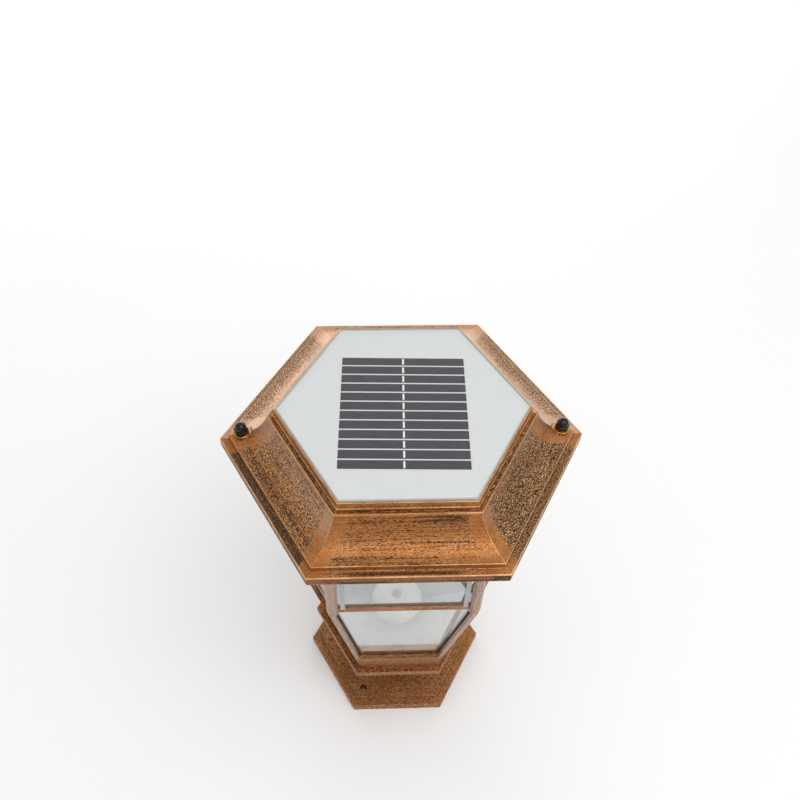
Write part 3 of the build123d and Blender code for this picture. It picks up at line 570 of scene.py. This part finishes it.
def roof_outline():
    """Outline of the roof section from the panel pocket over the top to the underside and back."""

    def at(radius, level, rounding=0.0):
        return (radius * SIDE / 1000, RIM_TOP + level / 1000, rounding / 1000)

    cove_foot = at(110.0, 3.8)[:2]
    cove_top = at(84.45, 21.7)[:2]
    cove = arc_points(cove_foot, cove_top, 34)[::-1]
    outline = [
        at(78.9, 24.0),
        at(78.9, 28.0, 0.2),
        at(79.8, 28.0, 0.3),
        at(80.3, 24.1, 0.25),
        at(80.9, 23.7, 0.3),
        at(81.2, 21.7, 0.25),
        at(83.2, 21.7, 0.25),
        at(83.5, 22.4, 0.3),
        at(84.15, 22.4, 0.3),
        (*cove[0], 0.0002),
    ]
    outline.extend((reach, level, 0.0) for reach, level in cove[1:-1])
    outline.append((*cove[-1], 0.0006))
    outline.extend([at(110.5, 0.0, 0.5), at(116.0, 0.0, 0.5)])
    outline.extend([at(116.0, -7.1, 0.4), at(113.0, -7.1, 0.3)])
    outline.extend([at(113.0, -2.5, 0.3), at(107.2, -2.5, 0.3)])
    under = arc_points(cove_foot, cove_top, 24, 0.0025)
    outline.extend(
        (reach, level, 0.0)
        for reach, level in under
        if level < RIM_TOP + 0.0212 and reach < 107.1 * SIDE / 1000
    )
    outline.extend([at(81.0, 21.3), at(66.0, 21.3, 0.3), at(66.0, 24.0, 0.3), at(78.9, 24.0)])
    return divided(rounded(outline), 0.0008)


MITRE_SHARE = 0.010  # part of half a side taken by the rounding of a mitre
CLOSE_SHARE = 0.162  # part of half a side that has closer columns, beside each mitre
COVE_TOP_REACH = 0.0731
COVE_RUN = 0.0222
BOSS_RADIUS = 0.0065
CASTING_RIPPLE = 0.00012


def side_columns():
    """Positions along a side from -1 to 1, closer together towards both mitres."""
    half = [MITRE_SHARE * step / 4 for step in range(4)]
    half += [MITRE_SHARE + (CLOSE_SHARE - MITRE_SHARE) * step / 12 for step in range(12)]
    middle = [(1 - CLOSE_SHARE) * (step / 33 - 1) for step in range(67)]
    return [spot - 1 for spot in half] + middle + [1 - spot for spot in reversed(half)]


def soften_mitre(share, reach):
    """Place along a side, reach, and closeness to the mitre (0 to 1), with the mitre rounded off."""
    half = reach * TAN30
    side = math.copysign(1.0, share)
    if abs(share) <= 1 - MITRE_SHARE:
        return share * half, reach, 0.0
    close = (abs(share) - (1 - MITRE_SHARE)) / MITRE_SHARE
    start = Vector(((1 - MITRE_SHARE) * half, reach))
    sharp = Vector((half, reach))
    mitre = Vector((0.5, SIDE))
    mirrored = 2 * start.dot(mitre) * mitre - start
    blend = 0.5 * close
    spot = start * (1 - blend) ** 2 + sharp * 2 * blend * (1 - blend) + mirrored * blend**2
    return side * spot.x, spot.y, close


def gauss(value, centre, spread):
    return math.exp(-(((value - centre) / spread) ** 2))


def smooth(value, low, high):
    share = min(1.0, max(0.0, (value - low) / (high - low)))
    return share * share * (3 - 2 * share)


NUT_END = {0: -1, 2: 1, 3: -1, 5: 1}  # which end of a side has the cap nut


def roof_marks(number, along, level, reach):
    """Share of the surface under dashes (soot) and under dots (stipple), and how brown (patina): brown
    patina in the groove, painted shade on the front coves, the flanges and the rim.

    Sides: 0 right-back, 1 back, 2 left-back, 3 left-front, 4 front, 5 right-front.  depth is
    0 at the top of the cove, 1 at its foot, over 1 on the flange and under 0 on the riser.
    """
    depth = (reach - COVE_TOP_REACH) / COVE_RUN
    to_mitre = reach * TAN30 - abs(along)
    at_nut = NUT_END.get(number, 0) * along > 0
    clear = smooth(to_mitre, 0.006, 0.011) if not at_nut else smooth(to_mitre, 0.009, 0.016)
    rim = level < -0.0005
    flange = depth > 1.02 and not rim
    riser = depth < -0.14
    groove = 0.0213 < level < 0.0221 and 0.0703 < reach < 0.0722
    # patina below is painted shade, except in the groove where it is brown patina
    patina_and_shade = 0.0
    if number == 4:
        soot = 0.42 + 0.08 * math.sin(depth * 34.0) + 0.05 * math.sin(depth * 17.0)
        soot += 0.12 * gauss(along, -0.030, 0.030) * gauss(depth, 0.88, 0.14)
        soot += 0.22 * gauss(along, 0.024, 0.014) * gauss(depth, 0.05, 0.06)
        soot -= 0.34 * smooth(along, 0.010, 0.034) * gauss(depth, 0.80, 0.22)
        stipple = 0.05
        patina_and_shade = 0.20
        if flange:
            middle = smooth(0.042 - abs(along + 0.004), 0.0, 0.020)
            soot = 0.24 + 1.05 * middle * gauss(depth, 1.13, 0.045)
            stipple = 0.22
            patina_and_shade = 0.15
    elif number == 3:
        stipple = 0.34 + 0.12 * gauss(depth, 0.25, 0.25)
        soot = 0.28 + 0.36 * gauss(depth, 0.76, 0.13) + 0.08 * math.sin(depth * 26.0)
        patina_and_shade = 0.15
        if flange:
            soot, stipple, patina_and_shade = 0.68, 0.58, 0.55
    elif number == 5:
        stipple = 0.56 + 0.10 * gauss(depth, 0.6, 0.4)
        soot = 0.28
        patina_and_shade = 0.10
        if flange:
            stipple, soot = 0.66, 0.34
    elif number in (0, 2):
        stipple = 0.10 + 0.48 * smooth(depth, 0.15, 0.85)
        soot = 0.22
    else:
        soot, stipple = 0.36, 0.20
    if rim:
        low_edge = 0.45 if level < -0.0045 else 0.0
        soot = 0.36 + low_edge * smooth(0.05 * math.sin(along * 95 + number), -0.01, 0.03)
        # painted shade: the rim band is painted dark brown and dull
        patina_and_shade = 1.15
        if number == 4 and along > 0.048:
            return 0.85, 0.30, 0.8
    if riser:
        soot, stipple, patina_and_shade = 0.30 + 0.08 * (number == 3), 0.14, 0.0
    soot *= clear
    stipple *= clear
    if groove:
        soot = 0.46 + (0.38 * gauss(along, 0.002, 0.014) if number == 3 else 0.0)
        patina_and_shade = 0.6
    return soot, stipple, patina_and_shade


def painted_sheen_share(number, reach):
    """Painted sheen: how pale and pink the copper is painted where it would reflect the bright studio;
    most on the two back sides, close to the panel.
    """
    depth = (reach - COVE_TOP_REACH) / COVE_RUN
    if number in (0, 2):
        return (0.95 if number == 0 else 0.85) - 0.45 * smooth(depth, 0.2, 1.2)
    if number == 3:
        return 0.40 * (1 - smooth(depth, 0.0, 0.6)) if depth > 0 else 0.0
    if number == 5:
        return 0.25 * (1 - smooth(depth, 0.0, 0.3)) if depth > 0 else 0.0
    return 0.3 if number == 1 else 0.0


def build_roof():
    outline = roof_outline()
    columns = side_columns()
    width = len(columns)
    vertices, faces = [], []
    marks = {"soot": [], "stipple": [], "patina_and_shade": [], "painted_sheen": [], "edge_wear_and_highlight": []}
    for number in range(6):
        middle = math.radians(30 + 60 * number)
        cosine, sine = math.cos(middle), math.sin(middle)
        first = len(vertices)
        for reach, level, edge in outline:
            for share in columns:
                along, out, close = soften_mitre(share, reach)
                x = out * cosine - along * sine
                y = out * sine + along * cosine
                z = level
                if math.hypot(abs(x) - NUT_X, y) < BOSS_RADIUS and z > BOSS_TOP - 0.003:
                    z = min(z, BOSS_TOP)
                elif RIM_TOP + 0.001 < level < RIM_TOP + 0.0272:
                    spot = Vector((along * 30, reach * 30, number * 3.7))
                    z -= CASTING_RIPPLE * (1 + noise.noise(spot))
                vertices.append((x, y, z))
                soot, stipple, patina_and_shade = roof_marks(number, along, level - RIM_TOP, reach)
                marks["soot"].append(soot)
                marks["stipple"].append(stipple)
                marks["patina_and_shade"].append(patina_and_shade)
                marks["painted_sheen"].append(painted_sheen_share(number, reach))
                # the mitre term is a painted highlight, kept to the upper cove
                marks["edge_wear_and_highlight"].append(max(edge, (0.55 if reach < 0.0955 else 0.0) * close))
        for row in range(len(outline) - 1):
            for column in range(width - 1):
                a = first + row * width + column
                faces.append((a, a + 1, a + width + 1, a + width))
    mesh = bpy.data.meshes.new("roof_casting")
    mesh.from_pydata(vertices, [], faces)
    mesh.validate()
    for name, values in marks.items():
        layer = mesh.attributes.new(name, "FLOAT", "POINT")
        layer.data.foreach_set("value", values)
    mesh.polygons.foreach_set("use_smooth", [True] * len(mesh.polygons))
    mesh.materials.append(COPPER)
    piece = bpy.data.objects.new("roof_casting", mesh)
    bpy.context.scene.collection.objects.link(piece)
    return piece


roof = build_roof()
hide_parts("roof_cap")
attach(roof, "roof")


# ------------------------------------------------------------------ stage and light
FLOOR_HALF_SIZE = 6.0
WORLD_STRENGTH = 0.74


def make_stage():
    size = FLOOR_HALF_SIZE
    mesh = bpy.data.meshes.new("floor")
    corners = [(-size, -size, 0), (size, -size, 0), (size, size, 0), (-size, size, 0)]
    mesh.from_pydata(corners, [], [(0, 1, 2, 3)])
    s = Shader("floor_pale")
    cloud = s.noise(s.position(), scale=3, detail=2)
    s.principled(Base_Color=s.mix(cloud, rgb(246, 246, 246), rgb(250, 250, 250)), Roughness=0.6)
    mesh.materials.append(s.material)
    floor = bpy.data.objects.new("floor", mesh)
    bpy.context.scene.collection.objects.link(floor)


def area_light(name, place, aim, width, height, power, colour=(1, 1, 1)):
    data = bpy.data.lights.new(name, "AREA")
    data.shape = "RECTANGLE"
    data.size = width
    data.size_y = height
    data.energy = power
    data.color = colour
    light = bpy.data.objects.new(name, data)
    light.location = place
    light.visible_camera = False
    light.visible_transmission = False
    light.rotation_euler = (Vector(aim) - Vector(place)).to_track_quat("-Z", "Y").to_euler()
    bpy.context.scene.collection.objects.link(light)


make_stage()
world = bpy.data.worlds.new("studio")
world.use_nodes = True
world.node_tree.nodes["Background"].inputs["Color"].default_value = (1, 1, 1, 1)
world.node_tree.nodes["Background"].inputs["Strength"].default_value = WORLD_STRENGTH
bpy.context.scene.world = world
area_light("key", (0.5, -0.5, 1.5), (0, 0, 0.25), 1.1, 1.1, 8.5)
area_light("back", (-0.3, 1.9, 0.55), (0, 0, 0.28), 3.0, 0.9, 16)
bpy.context.scene.view_settings.view_transform = "Standard"
